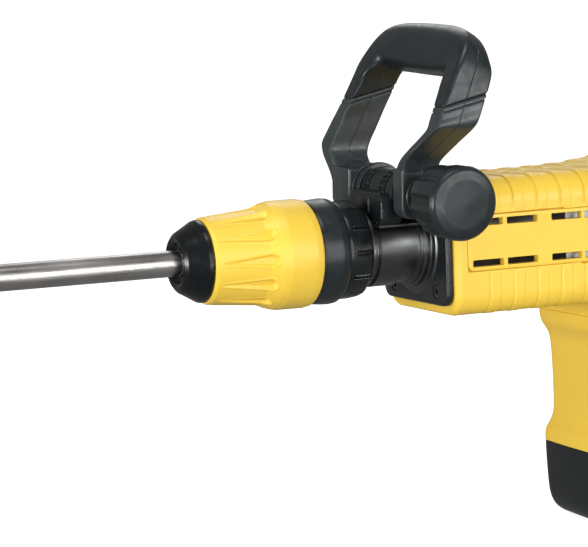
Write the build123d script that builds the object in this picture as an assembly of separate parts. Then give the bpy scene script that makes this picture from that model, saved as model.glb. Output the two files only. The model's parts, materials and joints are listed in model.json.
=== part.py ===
from build123d import *
import os
from math import sin, cos, tan, pi, radians, sqrt, acos, hypot

# Electric demolition hammer with a vertical motor column.
# Frame: X runs along the striking axis, chisel towards -X, +Z up, origin on the
# striking axis at the mouth of the dust cap. Millimetres.

# ---- driving dimensions -------------------------------------------------
CHISEL_R = 9.0            # 18 mm round shank
CHISEL_TIP = -315.0
SHANK_IN = 85.0           # depth of the shank behind the mouth
SLEEVE_TRAVEL = 9.0
RING_TRAVEL = 4.0
CHISEL_TRAVEL = 12.0
RUN = 0.03                # running clearance on radius
BARREL_R = 26.7
FLANGE_X0, FLANGE_X1 = 182.5, 188.0
BODY_HALF_W = 52.0
BODY_BOT, BODY_TOP = -49.5, 48.2
NECK_Z = -61.0
CAP_Z = -164.0
BASE_Z = -220.0
COL_REAR = 430.0
MOTOR_X = 372.0           # armature axis
GEAR_M = 1.25             # module
Z_PINION, Z_GEAR = 10, 54
PRESS_ANGLE = 25.0
CRANK_X = MOTOR_X - GEAR_M * (Z_PINION + Z_GEAR) / 2
THROW = 14.0
ROD_LEN = 60.0
CYL_R = 20.0              # cylinder bore radius
WALL = 3.2                # plastic wall
PIVOT_X, PIVOT_H = 165.0, 40.0   # loop handle pivot: station and height over the axis
CLAMP_ROLL = 2.6          # side handle swung round the barrel, degrees
LOOP_MID = -4.5           # side handle mid plane along its pivot
HUB_R = 16.8
KNOB_R = 24.8
LEAN = 25.0               # backward lean of the loop legs, degrees
PIN_X, PIN_Z = 447.0, -172.5     # lower pivot of the rear handle

os.makedirs("parts", exist_ok=True)
C, LO = Align.CENTER, Align.MIN


def save(name, shape):
    export_step(shape if isinstance(shape, Compound) else Compound(children=list(shape.solids())), "parts/" + name + ".step")


def group(*shapes):
    out = []
    for s in shapes:
        out += list(s.solids())
    return Compound(children=out)


def rx(pts):
    """Turned about the striking axis, from (x, r) pairs."""
    return revolve(make_face(Polyline(*[(x, r, 0) for x, r in pts], close=True)), Axis.X, 360)


def rz(pts, cx, cy=0.0):
    """Turned about a vertical axis, from (r, z) pairs."""
    return revolve(make_face(Polyline(*[(cx + r, cy, z) for r, z in pts], close=True)), Axis((cx, cy, 0), (0, 0, 1)), 360)


def cyx(x0, x1, r, y=0.0, z=0.0):
    return Pos(x0, y, z) * Rot(0, 90, 0) * Cylinder(r, x1 - x0, align=(C, C, LO))


def cyy(y0, y1, r, x=0.0, z=0.0):
    return Pos(x, y0, z) * Rot(-90, 0, 0) * Cylinder(r, y1 - y0, align=(C, C, LO))


def cyz(z0, z1, r, x=0.0, y=0.0):
    return Pos(x, y, z0) * Cylinder(r, z1 - z0, align=(C, C, LO))


def bx(x0, x1, y0, y1, z0, z1):
    return Pos((x0 + x1) / 2, (y0 + y1) / 2, (z0 + z1) / 2) * Box(x1 - x0, y1 - y0, z1 - z0)


def exy(pts, z0, z1):
    return extrude(make_face(Polyline(*[(x, y, z0) for x, y in pts], close=True)), amount=z1 - z0, dir=(0, 0, 1))


def exz(pts, y0, y1):
    return extrude(make_face(Polyline(*[(x, y0, z) for x, z in pts], close=True)), amount=y1 - y0, dir=(0, 1, 0))


def eyz(pts, x0, x1):
    return extrude(make_face(Polyline(*[(x0, y, z) for y, z in pts], close=True)), amount=x1 - x0, dir=(1, 0, 0))


def hexx(x0, x1, af, y=0.0, z=0.0):
    r = af / 2 / cos(pi / 6)
    return eyz([(y + r * cos(k * pi / 3), z + r * sin(k * pi / 3)) for k in range(6)], x0, x1)


def rr_x(x, y0, y1, z0, z1, r):
    return Plane(origin=(x, (y0 + y1) / 2, (z0 + z1) / 2), x_dir=(0, 1, 0), z_dir=(1, 0, 0)) * RectangleRounded(y1 - y0, z1 - z0, r)


def rr_z(z, x0, x1, y0, y1, r):
    return Plane(origin=((x0 + x1) / 2, (y0 + y1) / 2, z)) * RectangleRounded(x1 - x0, y1 - y0, r)


def ring_sector(r0, r1, z0, z1, cx, a0, a1):
    """Part of a vertical tube between two angles in degrees."""
    rr = r1 * 1.6
    n = 6
    pts = [(cx, 0)] + [(cx + rr * cos(radians(a0 + (a1 - a0) * k / n)), rr * sin(radians(a0 + (a1 - a0) * k / n))) for k in range(n + 1)]
    tube = cyz(z0, z1, r1, cx) - cyz(z0 - 1, z1 + 1, r0, cx)
    return tube & exy(pts, z0, z1)


# ---- chisel and tool holder ---------------------------------------------
chisel = rx([(SHANK_IN, 0), (SHANK_IN, 8.0), (SHANK_IN - 1, CHISEL_R), (78, CHISEL_R), (78, 7.2), (48, 7.2), (48, CHISEL_R),
             (2, CHISEL_R), (2, 8.5), (0, 8.5), (0, CHISEL_R), (-262, CHISEL_R), (-310, 1.6), (CHISEL_TIP, 0)])
save("chisel", chisel)

rollers = [cyy(-6, 6, 3.2, 56, s * 10.5) for s in (-1, 1)]
save("locking_rollers", group(*rollers))

holder = rx([(6, 9.05), (6, 16), (17.4, 16), (17.4, 20), (54, 20), (54, 25.5), (58, 25.5), (58, 20), (100, 20), (100, 24),
             (132, 24), (132, 20), (150, 20), (150, 16.3), (118, 16.3), (118, 12.05), (72, 12.05), (72, 9.05)])
for s in (-1, 1):
    holder -= bx(52.7, 59.3, -6.1, 6.1, 7, 17) if s > 0 else bx(52.7, 59.3, -6.1, 6.1, -17, -7)
save("tool_holder", holder)

save("dust_cap", rx([(0.8, 12.5), (0.8, 18.6), (1.6, 20.0), (3.0, 21.2), (13.6, 27.7), (15.6, 28.6), (16.8, 28.4), (17.4, 27.4),
                     (17.4, 16), (5.5, 16), (5.5, 9.4), (3.4, 9.4), (3.4, 12.5)]))

# ---- locking sleeve, its rear band and spring ---------------------------
sleeve = rx([(18, 20.3), (18, 28.6), (19.4, 29.9), (37.5, 31.4), (53.5, 33.0), (56.5, 33.4), (60, 34.6), (67, 37.6), (71.5, 38.7),
             (74, 38.95), (89.5, 38.9), (93.5, 38.2), (95.2, 36.4), (95.2, 33.2), (102.5, 33.2), (102.5, 32), (66, 32), (60, 26.2),
             (26, 26.2), (26, 20.3)])
for k in range(12):
    flute = Rot(30 * k, 0, 0) * (Pos(15, 0, 31.0) * Rot(0, 90 - 7.2, 0) * Cone(2.6, 4.9, 33, align=(C, C, LO)))
    tipb = Rot(30 * k, 0, 0) * (Pos(15 + 33 * cos(radians(7.2)), 0, 31.0 + 33 * sin(radians(7.2))) * Sphere(4.9))
    sleeve = sleeve - flute - tipb
save("locking_sleeve", sleeve)

save("sleeve_rear_band", rx([(95.6, 33.2), (95.6, 36.0), (98, 36.4), (104, 37.0), (109.5, 37.3), (113.5, 36.8), (115.7, 35.8),
                             (115.7, 35.0), (102.9, 35.0), (102.9, 33.2)]))

hx = Helix(pitch=5.2, height=25.0, radius=23.1)
wire = sweep(Plane(origin=hx @ 0, z_dir=hx % 0) * Circle(1.05), path=hx)
save("sleeve_spring", Pos(27.5, 0, 0) * Rot(0, 90, 0) * wire)

ring = rx([(116.2, 24.3), (116.2, 34.2), (117, 34.6), (128, 34.1), (132.5, 33.6), (134.8, 31.8), (136.0, 29.0), (136.0, 24.3)])
for k in range(12):
    ring -= Rot(30 * k, 0, 0) * bx(119.5, 137, -0.8, 0.8, 33.0, 36)
save("angle_ring", ring)

save("nose_ring", rx([(136.3, 25), (136.3, 28.0), (136.8, 28.5), (139.0, 28.5), (139.5, 28.0), (139.5, 25)]))
save("front_bushing", rx([(137.5, 20 + RUN), (137.5, 23), (150, 23), (150, 20 + RUN)]))

# ---- barrel, flange, gearcase -------------------------------------------
barrel = rx([(136.3, 23), (136.3, 25), (139.5, 25), (139.5, 25.8), (142.0, 25.8), (142.0, BARREL_R), (173.4, BARREL_R), (173.4, 28.4),
             (177, 28.4), (177, 29.9), (181.4, 29.9), (181.4, 35.2), (182.2, 36), (FLANGE_X1, 36), (FLANGE_X1, 23)])
save("barrel_housing", barrel)

flange = extrude(rr_x(FLANGE_X0, -48, 48, -41.5, 41.5, 9), amount=FLANGE_X1 - FLANGE_X0, dir=(1, 0, 0)) - cyx(180, 190, 36)
gear_plate = extrude(rr_x(FLANGE_X1, -44, 44, -38, 38, 6), amount=8, dir=(1, 0, 0))
screws = []
for sy in (-1, 1):
    for sz in (-1, 1):
        y, z = sy * 31.7, sz * 31.7
        flange -= cyx(182, 185.6, 5.0, y, z) + cyx(185, 189, 2.6, y, z)
        gear_plate -= cyx(187, 197, 2.6, y, z)
        screws.append(cyx(182.9, 185.6, 4.5, y, z) + cyx(185.6, 196, 2.6, y, z) - hexx(182, 184.4, 4.0, y, z))
save("front_flange", flange)
save("flange_screws", group(*screws))

case = gear_plate + cyx(190, 292, 29) + bx(284, 400, -42, 42, -45, 27)
case -= bx(288, 395, -37, 37, -41, 22)
case += bx(306, 395, -37, 37, -28, -18.5)
case += cyz(-57, -41, 18, CRANK_X) + cyz(-57, -41, 16, MOTOR_X)
case -= cyx(180, 286, 23)
case -= cyx(280, 290, 21)
case -= cyz(-55.5, -40, 14, CRANK_X) + cyz(-60, -50, 7, CRANK_X) + cyz(-55.5, -40, 12, MOTOR_X) + cyz(-60, -50, 6.5, MOTOR_X)
case -= cyz(-30, -17, 18, CRANK_X)
save("gearcase", case)

save("cylinder", rx([(152, 12.05), (152, 23), (285, 23), (285, CYL_R), (158, CYL_R), (158, 12.05)]))

# ---- striking train -----------------------------------------------------
save("impact_bolt", rx([(85.3, 0), (85.3, 11.4), (86, 12), (131, 12), (131, 16), (146, 16), (146, 12), (167.4, 12), (168, 11.4), (168, 0)]))
R = CYL_R - 0.05
save("striker", rx([(168.5, 0), (168.5, 8), (169.5, 9), (180, 9), (182, R), (200, R), (200, 17.5), (204, 17.5), (204, R), (214, R), (214, 0)]))
save("striker_o_ring", rx([(200.2, 17.5), (200.2, 19.9), (203.8, 19.9), (203.8, 17.5)]))
WRIST_X = CRANK_X - THROW - ROD_LEN
piston = rx([(231, 0), (231, R), (238, R), (238, 17.5), (242, 17.5), (242, R), (275, R), (275, 0)])
piston -= bx(246, 280, -17, 17, -7.3, 7.3)
piston -= cyz(-25, 25, 4.0, WRIST_X)
save("piston", piston)
save("piston_o_ring", rx([(238.2, 17.5), (238.2, 19.9), (241.8, 19.9), (241.8, 17.5)]))
save("wrist_pin", cyz(-18.5, 18.5, 4.0, WRIST_X))
BIG_X = WRIST_X + ROD_LEN
rod = cyz(-7, 7, 9, WRIST_X) + cyz(-6, 6, 12, BIG_X) + bx(WRIST_X + 5, BIG_X - 5, -6, 6, -5, 5)
rod -= cyz(-9, 9, 4.0 + RUN, WRIST_X) + cyz(-9, 9, 6.05, BIG_X)
save("connecting_rod", rod)


def gear_outline(z, m, alpha, phase, backlash, cx):
    """Involute spur outline with stub teeth; phase turns the first tooth, in degrees."""
    a = radians(alpha)
    rp = m * z / 2
    rb, ra, rf = rp * cos(a), rp + 0.8 * m, rp - 1.05 * m
    inv = lambda t: tan(t) - t
    half = pi / (2 * z) - backlash / (2 * rp)
    def psi(r):
        if r <= rb:
            return half + inv(a)
        return half + inv(a) - inv(acos(rb / r))
    start = max(rb, rf)
    rs = [start + (ra - start) * k / 4 for k in range(5)]
    pts = []
    for i in range(z):
        t0 = radians(phase) + 2 * pi * i / z
        left = [(r, t0 - psi(r)) for r in rs]
        right = [(r, t0 + psi(r)) for r in reversed(rs)]
        if rf < start - 0.01:
            left = [(rf, t0 - psi(start))] + left
            right = right + [(rf, t0 + psi(start))]
        pts += left + right
    return [(cx + r * cos(t), r * sin(t)) for r, t in pts]


crank = rz([(0, -56), (6, -56), (6, -41), (8, -41), (8, -29), (8.5, -29), (8.5, -17.5), (12, -17.5), (12, -16), (21, -16), (21, -9), (0, -9)], CRANK_X)
crank += cyz(-9.5, -6.6, 5.9, BIG_X)
save("crankshaft", crank)
gear = exy(gear_outline(Z_GEAR, GEAR_M, PRESS_ANGLE, 0, 0.12, CRANK_X), -40, -30) - cyz(-45, -25, 8, CRANK_X)
for k in range(6):
    gear -= cyz(-45, -25, 5.5, CRANK_X + 20 * cos(k * pi / 3 + 0.3), 20 * sin(k * pi / 3 + 0.3))
save("crank_gear", gear)
save("crank_bearings", group(rz([(8.5 + RUN, -28), (18, -28), (18, -18.5), (8.5 + RUN, -18.5)], CRANK_X),
                             rz([(6 + RUN, -55.4), (14, -55.4), (14, -45.5), (6 + RUN, -45.5)], CRANK_X)))

# ---- motor --------------------------------------------------------------
shaft = rz([(0, -178.5), (5, -178.5), (5, -40), (0, -40)], MOTOR_X)
shaft += exy(gear_outline(Z_PINION, GEAR_M, PRESS_ANGLE, 18, 0.12, MOTOR_X), -40.3, -29.7)
save("armature_shaft", shaft)
core = cyz(-134, -84, 25, MOTOR_X) - cyz(-140, -80, 5, MOTOR_X)
for k in range(12):
    core -= Pos(MOTOR_X, 0, 0) * Rot(0, 0, 30 * k) * bx(19, 26, -1.3, 1.3, -135, -83)
save("armature_core", core)
comm = cyz(-160, -144, 14, MOTOR_X) - cyz(-162, -142, 5, MOTOR_X)
save("commutator", comm)
fan = cyz(-68, -65.5, 38, MOTOR_X) + cyz(-78, -65.5, 11, MOTOR_X)
for k in range(11):
    fan += Pos(MOTOR_X, 0, 0) * Rot(0, 0, k * 360 / 11) * bx(10, 37.5, -0.9, 0.9, -77, -67)
fan -= cyz(-80, -60, 5, MOTOR_X)
save("cooling_fan", fan)
save("motor_bearings", group(rz([(5 + RUN, -55.4), (12, -55.4), (12, -46), (5 + RUN, -46)], MOTOR_X),
                             rz([(5 + RUN, -176), (11, -176), (11, -167), (5 + RUN, -167)], MOTOR_X)))
stator = cyz(-134, -84, 41, MOTOR_X) - cyz(-140, -80, 34, MOTOR_X)
for a in (90, 270):
    stator += ring_sector(25.7, 35, -134, -84, MOTOR_X, a - 48, a + 48)
save("stator", stator)
save("field_coils", group(*[ring_sector(26.5, 33.6, -141, -80, MOTOR_X, a - 33, a + 33) for a in (0, 180)]))
bh, br = [], []
for s in (-1, 1):
    y0, y1 = sorted((s * 17, s * 43.6))
    b0, b1 = sorted((s * 14.15, s * 36))
    bh.append(bx(MOTOR_X - 7, MOTOR_X + 7, y0, y1, -158.5, -145.5) - bx(MOTOR_X - 4.5, MOTOR_X + 4.5, y0 - 1 if s > 0 else -37, 37 if s > 0 else y1 + 1, -156.5, -147.5))
    br.append((bx(MOTOR_X - 4.4, MOTOR_X + 4.4, *sorted((s * 10, s * 36)), -156.4, -147.6) - cyz(-165, -140, 14.15, MOTOR_X)))
save("brush_holders", group(*bh))
save("carbon_brushes", group(*br))

# ---- yellow body shells -------------------------------------------------
SECT = [(188, 50.6, -47.8, 45.4, 15), (191, 52, BODY_BOT, 46.8, 16), (300, 52, BODY_BOT, BODY_TOP, 16), (334, 52, BODY_BOT, 50, 16),
        (352, 52, BODY_BOT, 53, 17), (385, 52, BODY_BOT, 57.5, 18), (415, 51, BODY_BOT, 60, 20), (434, 48.5, BODY_BOT, 57.5, 20), (440, 44.5, -45, 52, 18)]
outer = loft([rr_x(x, -w, w, zb, zt, r) for x, w, zb, zt, r in SECT], ruled=True)
outer += loft([rr_z(-44, 302, 433, -50, 50, 14), rr_z(-52, 306.5, 432, -49.5, 49.5, 13), rr_z(NECK_Z, 313, COL_REAR, -48, 48, 12)], ruled=True)
inner = loft([rr_x(x, -w + WALL, w - WALL, zb + WALL, zt - WALL, r - WALL) for x, w, zb, zt, r in
              [(187.9,) + SECT[0][1:]] + SECT[1:-1] + [(436.8, 46, -45.5, 53, 18)]], ruled=True)
inner += loft([rr_z(-43, 302 + WALL, 433 - WALL, -50 + WALL, 50 - WALL, 11), rr_z(-52, 306.5 + WALL, 432 - WALL, -49.5 + WALL, 49.5 - WALL, 10),
               rr_z(NECK_Z - 0.1, 313 + WALL, COL_REAR - WALL, -48 + WALL, 48 - WALL, 9)], ruled=True)
shell = outer - inner
BOSS = [(222, 38.6), (222, -40.4), (418, 44), (424, -36)]
for x, z in BOSS:
    shell += cyy(-49.5, 49.5, 4.4, x, z)
PANEL = (197.5, 380.0, -17.6, 22.0)
px = (PANEL[0] + PANEL[1]) / 2
pz = (PANEL[2] + PANEL[3]) / 2
pw, ph = PANEL[1] - PANEL[0], PANEL[3] - PANEL[2]
SLOTS = [(201.5, 226.5), (229.5, 254.5), (266, 291), (293.5, 318.5), (330, 355)]
pocket = Plane(origin=(px, 60, pz), x_dir=(1, 0, 0), z_dir=(0, 1, 0)) * RectangleRounded(pw, ph, 5)
pocket = extrude(pocket, amount=120, dir=(0, -1, 0))
slots = None
for a, b in SLOTS:
    for zc in (16.7, -12.0):
        s = bx(a, b, -60, 60, zc - 2.5, zc + 2.5)
        slots = s if slots is None else slots + s
panel = pocket & (bx(190, 400, -BODY_HALF_W, -50, -30, 40) + bx(190, 400, 50, BODY_HALF_W, -30, 40))
shell = shell - (pocket & (bx(190, 400, -60, -50, -30, 40) + bx(190, 400, 50, 60, -30, 40)))
win = slots & (bx(190, 400, -60, -45, -30, 40) + bx(190, 400, 45, 60, -30, 40))
shell = shell - win
panel = panel - slots
body_screws = []
for x, z in BOSS:
    shell -= cyy(45, 60, 3.7, x, z)
    shell -= cyy(-20, 46, 1.6, x, z)
    body_screws.append(cyy(45, 47.5, 3.5, x, z) + cyy(-20, 45, 1.6, x, z) - cyy(46.2, 49, 1.4, x, z))
left = shell & bx(180, 450, -70, 0, -80, 80)
right = shell & bx(180, 450, 0, 70, -80, 80)
save("housing_left", left)
save("housing_right", right)
save("side_panel_left", panel & bx(180, 450, -70, 0, -80, 80))
save("side_panel_right", panel & bx(180, 450, 0, 70, -80, 80))
save("housing_screws", group(*body_screws))

# ---- motor column and end cap -------------------------------------------
COL = [(NECK_Z, 313, COL_REAR, 48), (-68, 314.4, 430, 47.4), (-84, 318.8, 429.5, 46.4), (-109, 320.6, 429, 46), (-134, 321.2, 429, 46),
       (-150, 316.4, 430, 47.2), (-157, 313.9, 430, 48), (CAP_Z, 313.7, 430, 48)]
col_out = loft([rr_z(z, a, b, -w, w, 12) for z, a, b, w in COL], ruled=True)
col_in = loft([rr_z(z, a + WALL, b - WALL, -w + WALL, w - WALL, 9) for z, a, b, w in COL], ruled=True)
motor_ring = cyz(-132, -86, 43.6, MOTOR_X) - cyz(-140, -80, 41, MOTOR_X)
column = (col_out - col_in) + (motor_ring & col_out)
POSTS = [(329.5, -37), (329.5, 37), (415, -37), (415, 37)]
for x, y in POSTS:
    column += cyz(CAP_Z, -70, 7.5, x, y) & col_out
    column -= cyz(-170, -140, 2.2, x, y)
save("motor_housing", column)

CAPS = [(CAP_Z - 0.3, 314.4, 430, 48), (-184, 315.4, 430, 48), (-201, 316.4, 429.5, 47.6), (-210, 318.8, 428.5, 46.4), (-216.5, 323.0, 425.5, 43.6), (BASE_Z, 328.5, 421, 39)]
cap_out = loft([rr_z(z, a, b, -w, w, 12) for z, a, b, w in CAPS], ruled=True)
cap_in = loft([rr_z(CAP_Z - 0.2, 314.4 + WALL, 430 - WALL, -48 + WALL, 48 - WALL, 9), rr_z(-201, 316.4 + WALL, 429.5 - WALL, -47.6 + WALL, 47.6 - WALL, 9),
               rr_z(-215.5, 326, 422, -41, 41, 9)], ruled=True)
cap = cap_out - cap_in
cap += cyz(-217, -167, 15, MOTOR_X)
cap -= cyz(-176, -160, 11, MOTOR_X) + cyz(-181, -170, 6.5, MOTOR_X)
cap += exz([(424, -181), (448, -181), (455, -175), (455, -170), (450, -164.6), (424, -164.6)], -7.5, 7.5) - bx(400, 427.5, -30, 30, -190, -150)
cap -= cyy(-10, 10, 4.0, PIN_X, PIN_Z)
cap_screws = []
for x, y in POSTS:
    cap += cyz(-218, CAP_Z - 0.3, 7.5, x, y) & cap_out
    cap -= cyz(-225, -213, 4.6, x, y) + cyz(-220, -160, 2.2, x, y)
    cap_screws.append(cyz(-216.5, -213, 4.4, x, y) + cyz(-213, -145, 2.2, x, y) - cyz(-218, -215, 1.6, x, y))
save("motor_end_cap", cap)
save("end_cap_screws", group(*cap_screws))

# ---- side handle clamp, loop and knob -----------------------------------
# modelled with the pivot parallel to Y, then swung round the barrel
roll = Rot(CLAMP_ROLL, 0, 0)
X0, H0, S0 = PIVOT_X, PIVOT_H, LOOP_MID

band = rx([(142.6, 27.0), (142.6, 27.9), (161, 27.9), (161, 27.0)]) - bx(140, 165, -12.5, 12.5, 10, 40)
for s in (-1, 1):
    y0, y1 = sorted((s * 12.5, s * 13.6))
    band += bx(143, 160.5, y0, y1, 24.3, 37)
save("clamp_band", roll * band)

saddle = cyy(S0 - 31.6, S0 + 31.6, 15.6, X0, H0)
saddle += eyz([(S0 - 29, 17.5), (S0 - 31.6, 24), (S0 - 31.6, H0 + 4), (S0 + 31.6, H0 + 4), (S0 + 31.6, 22.4), (S0 + 33, 17.5)], X0 - 15, 181)
saddle += eyz([(S0 - 27, 17.5), (S0 - 27, 30), (S0 - 20, 40), (S0 + 20, 40), (S0 + 27, 30), (S0 + 33, 17.5)], 140.2, X0 - 10)
saddle -= cyx(130, 173.2, 28.3) + cyx(173, 190, 31.2)
saddle -= bx(142.6, 161, -14, 14, 20, 37.4)
saddle -= bx(X0 - 17, X0 + 17, S0 - 2.2, S0 - 1.4, 45, 60)
saddle -= cyy(-60, 60, 4.2, X0, H0)
save("clamp_saddle", roll * saddle)

bolt = cyy(S0 - 92, S0 + 66, 4.0, X0, H0)
bolt += (Pos(X0, S0 + 60.5, H0) * Rot(-90, 0, 0) * extrude(RegularPolygon(7.5, 6), amount=5.5))
save("pivot_bolt", roll * bolt)

tl = tan(radians(LEAN))
def xfr(u): return -17.0 if u < 27.7 else -25.3 + tl * (u - 9.9)
def xre(u): return 11.0 if u < 21.5 else 0.1 + tl * (u + 1.9)
side = exz([(X0 - 17, H0), (X0 - 17, H0 + 27.7), (X0 + xfr(125), H0 + 125), (X0 + xre(125), H0 + 125), (X0 + 11, H0 + 21.5), (X0 + 11, H0)], -120, 120)
side_bar = exz([(X0 + xfr(60) - 2.5, H0 + 60), (X0 + xfr(125) - 2.5, H0 + 125), (X0 + xre(125) + 2.5, H0 + 125), (X0 + xre(60) + 2.5, H0 + 60)], -120, 120)
def prof(pts): return eyz([(S0 + w, H0 + u) for w, u in pts], X0 - 60, X0 + 90)
GR = 66.0     # joint line between the legs and the grip, height over the pivot
near = prof([(-46, 0), (-46, 19), (-77, 47.5), (-74.2, GR), (-59.2, GR), (-62, 47), (-31.7, 16), (-31.7, 0)]) & side
far = prof([(64, -4), (81, 30), (77.5, 47), (74.2, GR), (59.2, GR), (62, 47), (64, 26), (58, 14), (52, 10), (52, -4)]) & side
legs = near + far + cyy(S0 - 46, S0 - 31.7, HUB_R, X0, H0) + cyy(S0 + 31.7, S0 + 64, HUB_R, X0, H0)
core_bar = prof([(-70, GR), (-66, 88), (-52, 103), (52, 103), (66, 88), (70, GR), (63.5, GR), (60, 86), (48, 95), (-48, 95), (-60, 86), (-63.5, GR)])
core_side = exz([(X0 + xfr(GR) + 8, H0 + GR), (X0 + xfr(110) + 8, H0 + 110), (X0 + xre(110) - 8, H0 + 110), (X0 + xre(GR) - 8, H0 + GR)], -120, 120)
core_bar = core_bar & core_side
legs = legs + core_bar
legs -= cyy(-90, 90, 4.25, X0, H0)
legs -= cyy(S0 + 60, S0 + 70, 9.2, X0, H0)
save("loop_frame", roll * legs)
grip = prof([(-74.2, GR + 0.2), (-68.5, 90), (-61, 103), (-48, 111.5), (-30, 114.8), (0, 115.8), (30, 114.8), (48, 111.5), (61, 103), (68.5, 90), (74.2, GR + 0.2),
             (59.2, GR + 0.2), (54.5, 76), (48, 81.5), (-48, 81.5), (-54.5, 76), (-59.2, GR + 0.2)]) & (side + (side_bar & bx(0, 400, -60, 50, H0 + 78, 300)))
grip -= core_bar
save("loop_grip", roll * grip)

washer = cyy(S0 - 55.5, S0 - 46.4, 13.5, X0, H0) - cyy(-80, 0, 4.25, X0, H0)
for k in range(16):
    washer -= Pos(X0, 0, H0) * Rot(0, 22.5 * k, 0) * bx(12.4, 15, S0 - 55.6, S0 - 49, -0.9, 0.9)
save("pressure_washer", roll * washer)
kn0, kn1 = S0 - 100.5, S0 - 62.5
knob = revolve(make_face(Polyline((X0, kn0, H0), (X0 + 21, kn0, H0), (X0 + 23.4, kn0 + 1.2, H0), (X0 + KNOB_R, kn0 + 3.5, H0), (X0 + KNOB_R, kn1 - 2, H0),
                                  (X0 + KNOB_R - 2, kn1, H0), (X0 + 12.5, kn1, H0), (X0 + 12.5, S0 - 55.7, H0), (X0, S0 - 55.7, H0), close=True)), Axis((X0, 0, H0), (0, 1, 0)), 360)
for k in range(7):
    knob -= Pos(X0, 0, H0) * Rot(0, 360 / 7 * (k + 0.5), 0) * cyy(kn0 + 7, kn1 + 1, 12.0, 34.2, 0)
knob -= cyy(S0 - 95, 0, 4.05, X0, H0)
save("side_knob", roll * knob)

# ---- rear handle --------------------------------------------------------
HOUT = [(452, 51.5), (476, 53.5), (500, 53.5), (526, 48), (540, 35), (546, 14), (547, -20), (544, -70), (539, -120), (533, -155), (524, -176), (508, -189),
        (486, -193), (460, -189), (442, -184), (438.5, -178), (438.5, -166), (446, -160.5), (470, -158.5), (486, -153), (496, -142), (501, -124), (505, -80),
        (506, -20), (502, -2), (491, 9), (474, 13), (452, 13.5)]
face = make_face(Polyline(*[(x, 0, z) for x, z in HOUT], close=True))
hand = extrude(face, amount=17, dir=(0, 1, 0), both=True)
rim = [e for e in hand.edges() if abs(abs(e.center().Y) - 17) < 1e-3]
try:
    hand = chamfer(rim, 4.5)
except Exception as err:
    print("handle chamfer skipped", err)
face_in = offset(make_face(Polyline(*[(x, z, 0) for x, z in HOUT], close=True)), amount=-4.5)
cav = Plane.XZ * face_in
hol = extrude(cav, amount=12.3, dir=(0, 1, 0), both=True)
hol -= bx(430, 466, -20, 20, -200, -150)
body = hand - hol
for x, z in [(493, 33), (528, 20), (520, -104), (498, -173)]:
    body += cyy(-12.4, 12.4, 4.2, x, z)
body -= bx(430, 459, -8.2, 8.2, -192, -150)
body -= cyy(-15.1, 15.1, 4.06, PIN_X, PIN_Z)
body -= bx(490, 513.5, -8.6, 8.6, -67, -1)
body -= cyy(-15.2, 15.2, 2.1, 507, -7)
body -= bx(458.5, 485.5, -4.6, 4.6, 30, 70)
body -= cyy(-15.2, 15.2, 2.1, 472, 45.5)
body -= cyy(-25, -5, 5.05, 524, -80)
body -= cyz(-215, -178, 9, 515)
pad = (hand & bx(520, 560, -25, 25, -134, 16)) - extrude(Plane.XZ * offset(make_face(Polyline(*[(x, z, 0) for x, z in HOUT], close=True)), amount=-2.4), amount=14.6, dir=(0, 1, 0), both=True)
pad -= cyy(-25, -5, 5.05, 524, -80)
for x, z in [(528, 20), (520, -104)]:
    pad -= cyy(5, 30, 3.6, x, z)
body -= pad
hscrews = []
for x, z in [(493, 33), (528, 20), (520, -104), (498, -173)]:
    body -= cyy(12.6, 30, 3.6, x, z)
    body -= cyy(-8, 13, 1.5, x, z)
    hscrews.append(cyy(12.6, 15, 3.4, x, z) + cyy(-8, 12.6, 1.5, x, z) - cyy(14, 16, 1.3, x, z))
save("rear_handle_left", body & bx(400, 600, -40, 0, -300, 200))
save("rear_handle_right", body & bx(400, 600, 0, 40, -300, 200))
save("grip_pad", pad)
save("handle_screws", group(*hscrews))
save("handle_pin", cyy(-15, 15, 4.0, PIN_X, PIN_Z))
save("switch_module", bx(515.5, 533, -11, 11, -64, -12))
trig = exz([(496, -10), (494.5, -20), (496.5, -36), (494.5, -52), (495.5, -62), (500, -63.5), (504, -60), (504.5, -30), (505, -14), (504, -5), (500, -5)], -8, 8)
trig += cyy(-8, 8, 4.3, 507, -7) + cyy(-15, 15, 2.0, 507, -7)
save("trigger", trig)
save("lock_button", cyy(-20, -9, 4.8, 524, -80) + cyy(-12, -9, 6.5, 524, -80))
dial = cyy(-4, 4, 11, 472, 45.5) + cyy(-15, 15, 2.0, 472, 45.5)
for k in range(24):
    dial -= Pos(472, 0, 45.5) * Rot(0, 15 * k, 0) * bx(10.3, 12, -5, 5, -0.5, 0.5)
save("speed_dial", dial)
boot = None
for k, (a, b) in enumerate([(440.3, 443.3), (443.3, 444.8), (444.8, 447.3), (447.3, 448.8), (448.8, 451.7)]):
    g = 0 if k % 2 == 0 else 2.0
    s = extrude(rr_x(a, -14 + g, 14 - g, 16 + g, 48 - g, 5), amount=b - a, dir=(1, 0, 0))
    boot = s if boot is None else boot + s
save("handle_boot", boot)
save("cable_gland", rz([(4.6, -208), (8, -208), (9, -206), (9, -199), (12, -198.5), (12, -195.5), (9, -195), (9, -182), (4.6, -182)], 515))
print("written", len(os.listdir("parts")))
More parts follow.
